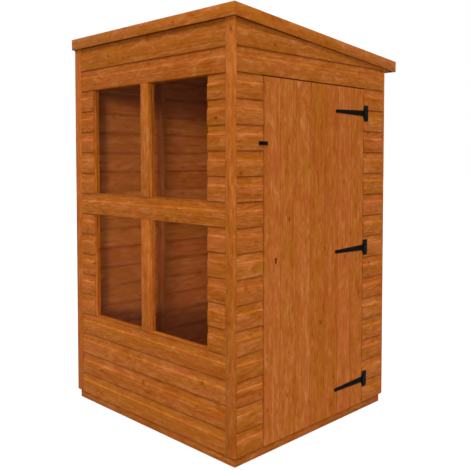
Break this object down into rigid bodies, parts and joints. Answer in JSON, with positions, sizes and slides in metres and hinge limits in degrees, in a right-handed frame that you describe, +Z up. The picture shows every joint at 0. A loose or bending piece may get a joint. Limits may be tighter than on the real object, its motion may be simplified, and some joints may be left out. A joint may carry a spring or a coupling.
{
  "type": "timber summerhouse",
  "caption": "Small pent-roofed timber summerhouse in shiplap, with fixed panes in the front wall and a ledged door in the side wall.",
  "frame": {"origin": "on the ground, under the middle of the roof", "axes": "+Z up; the window wall faces -Y, the door wall faces +X, and the roof falls towards +Y"},
  "size_m": [1.268, 1.249, 1.985],
  "materials": {
    "cladding": "stained softwood",
    "framing": "stained sawn softwood",
    "trim": "stained planed softwood",
    "door": "stained softwood",
    "boarding": "stained softwood",
    "glass": "clear",
    "felt": "mineral felt",
    "ironwork": "black japanned",
    "lock": "black enamel"
  },
  "bodies": {
    "root": {"floor_bearers": "framing", "floor_rims": "framing", "floor_boards": "boarding", "front_cladding_below": "cladding", "front_cladding_beside": "cladding", "front_cladding_between": "cladding", "front_cladding_above": "cladding", "front_posts": "framing", "front_rails": "framing", "mullion_strip": "trim", "glazing_beads": "trim", "lower_glass": "glass", "upper_glass": "glass", "left_cladding": "cladding", "left_posts": "framing", "left_rails": "framing", "back_cladding": "cladding", "back_posts": "framing", "back_rails": "framing", "right_cladding_front": "cladding", "right_cladding_back": "cladding", "right_cladding_over_door": "cladding", "right_posts": "framing", "right_rails": "framing", "door_stops": "framing", "corner_strips": "trim", "roof_boards": "boarding", "roof_purlins": "framing", "roof_felt": "felt", "front_fascia": "trim", "back_fascia": "trim", "barge_boards": "trim", "eaves_rail": "framing", "lock_keep": "lock", "top_hinge_plate": "ironwork", "middle_hinge_plate": "ironwork", "bottom_hinge_plate": "ironwork", "button_screw": "ironwork"},
    "door": {"door_boards": "door", "door_ledges": "framing", "door_braces": "framing", "rim_lock": "lock", "hinge_straps": "ironwork"},
    "turn_button": {"turn_button": "ironwork"}
  },
  "joints": [
    {"name": "door_hinge", "type": "hinge", "parent": "root", "child": "door", "pos_m": [0.627, 0.3365, 0.86838], "axis": [0, 0, 1], "range_deg": [0, 170]},
    {"name": "button_pivot", "type": "hinge", "parent": "root", "child": "turn_button", "pos_m": [0.6265, -0.444, 1.40013], "axis": [1, 0, 0], "continuous": true}
  ]
}
